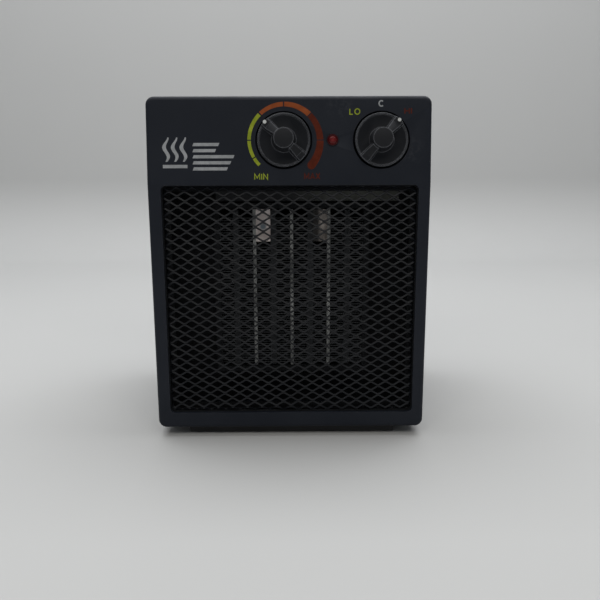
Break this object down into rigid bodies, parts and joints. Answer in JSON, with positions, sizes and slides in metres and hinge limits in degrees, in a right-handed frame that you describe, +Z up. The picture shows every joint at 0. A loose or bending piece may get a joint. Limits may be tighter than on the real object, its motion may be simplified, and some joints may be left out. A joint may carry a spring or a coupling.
{
  "type": "ceramic fan heater",
  "caption": "Small upright ceramic fan heater: dark case with an expanded-metal front grille, a leaning control panel with thermostat and mode knobs, and a rear air intake.",
  "frame": {"origin": "on the floor, under the middle of the heater's overall box", "axes": "+Z up, -Y towards the grille and control panel, +X to the right as seen from the front"},
  "size_m": [0.172, 0.1596, 0.214],
  "materials": {
    "case": "fine spark-eroded texture, satin, scuffed",
    "plinth": "plain matt",
    "foot_rubber": "matt",
    "grille_metal": "satin black paint, dusty",
    "black_steel": "matt black paint",
    "knob_plastic": "satin moulded",
    "white_print": "printed dot",
    "brass_parts": "turned",
    "phenolic": "moulded",
    "plated_steel": "zinc plated",
    "switch_plastic": "moulded",
    "red_lens": "tinted translucent",
    "lamp_glass": "clear",
    "ptc_ceramic": "fired",
    "fin_aluminium": "oxidised",
    "strip_aluminium": "rolled",
    "white_ceramic": "unglazed",
    "galvanised": "galvanised sheet",
    "cutout_plastic": "moulded",
    "fuse_metal": "plain",
    "filter_felt": "open felt, dusty",
    "fan_plastic": "glass-filled",
    "lamination_steel": "stacked sheet edges",
    "winding": "taped winding",
    "gland_rubber": "moulded",
    "plunger_plastic": "moulded"
  },
  "bodies": {
    "case": {"front_bezel": "case", "housing_shell": "case", "rear_cover": "case", "base_plinth": "plinth", "foot_front_left": "foot_rubber", "foot_front_right": "foot_rubber", "foot_rear_left": "foot_rubber", "foot_rear_right": "foot_rubber", "front_grille": "grille_metal", "grille_retainer": "black_steel", "core_frame": "black_steel", "fan_shroud": "black_steel", "thermostat_bimetal": "brass_parts", "thermostat_body": "phenolic", "control_nuts": "plated_steel", "mode_switch_terminals": "plated_steel", "lamp_retainer": "plated_steel", "motor_bracket_front": "plated_steel", "motor_bracket_rear": "plated_steel", "motor_screws": "plated_steel", "case_screws": "plated_steel", "tip_spring": "plated_steel", "mode_switch_body": "switch_plastic", "tip_switch_body": "switch_plastic", "indicator_lens": "red_lens", "neon_lamp": "lamp_glass", "ptc_bar_1": "ptc_ceramic", "ptc_bar_2": "ptc_ceramic", "ptc_bar_3": "ptc_ceramic", "ptc_bar_4": "ptc_ceramic", "fin_block_1": "fin_aluminium", "fin_block_2": "fin_aluminium", "fin_block_3": "fin_aluminium", "fin_block_4": "fin_aluminium", "fin_block_5": "fin_aluminium", "fin_block_6": "fin_aluminium", "fin_block_7": "fin_aluminium", "fin_block_8": "fin_aluminium", "electrode_strip_1": "strip_aluminium", "electrode_strip_2": "strip_aluminium", "electrode_strip_3": "strip_aluminium", "terminal_block_left": "white_ceramic", "terminal_block_right": "white_ceramic", "heat_shield": "galvanised", "thermal_cutout": "cutout_plastic", "thermal_fuse": "fuse_metal", "intake_filter": "filter_felt", "motor_stator": "lamination_steel", "motor_coil": "winding", "cord_gland": "gland_rubber"},
    "thermostat_dial": {"thermostat_knob": "knob_plastic", "thermostat_pointer": "white_print", "thermostat_shaft": "brass_parts"},
    "mode_dial": {"mode_knob": "knob_plastic", "mode_pointer": "white_print", "mode_shaft": "brass_parts"},
    "fan_rotor": {"fan_impeller": "fan_plastic", "motor_rotor": "lamination_steel", "motor_shaft": "plated_steel"},
    "tip_plunger_body": {"tip_plunger": "plunger_plastic"}
  },
  "joints": [
    {"name": "thermostat_turn", "type": "hinge", "parent": "case", "child": "thermostat_dial", "pos_m": [-0.0031, -0.06976, 0.18815], "axis": [0, -0.9943, 0.1063], "range_deg": [-179.6, 87.4]},
    {"name": "mode_turn", "type": "hinge", "parent": "case", "child": "mode_dial", "pos_m": [0.0556, -0.06976, 0.18815], "axis": [0, -0.9943, 0.1063], "range_deg": [0, 84.6]},
    {"name": "fan_spin", "type": "hinge", "parent": "case", "child": "fan_rotor", "pos_m": [0, 0.001, 0.09], "axis": [0, 1, 0], "continuous": true},
    {"name": "tip_plunger_slide", "type": "slide", "parent": "case", "child": "tip_plunger_body", "axis": [0, 0, -1], "range_m": [0, 0.005], "stiffness_N_per_m": 150, "springref_m": 0.006, "deforming": ["tip_spring"]}
  ]
}
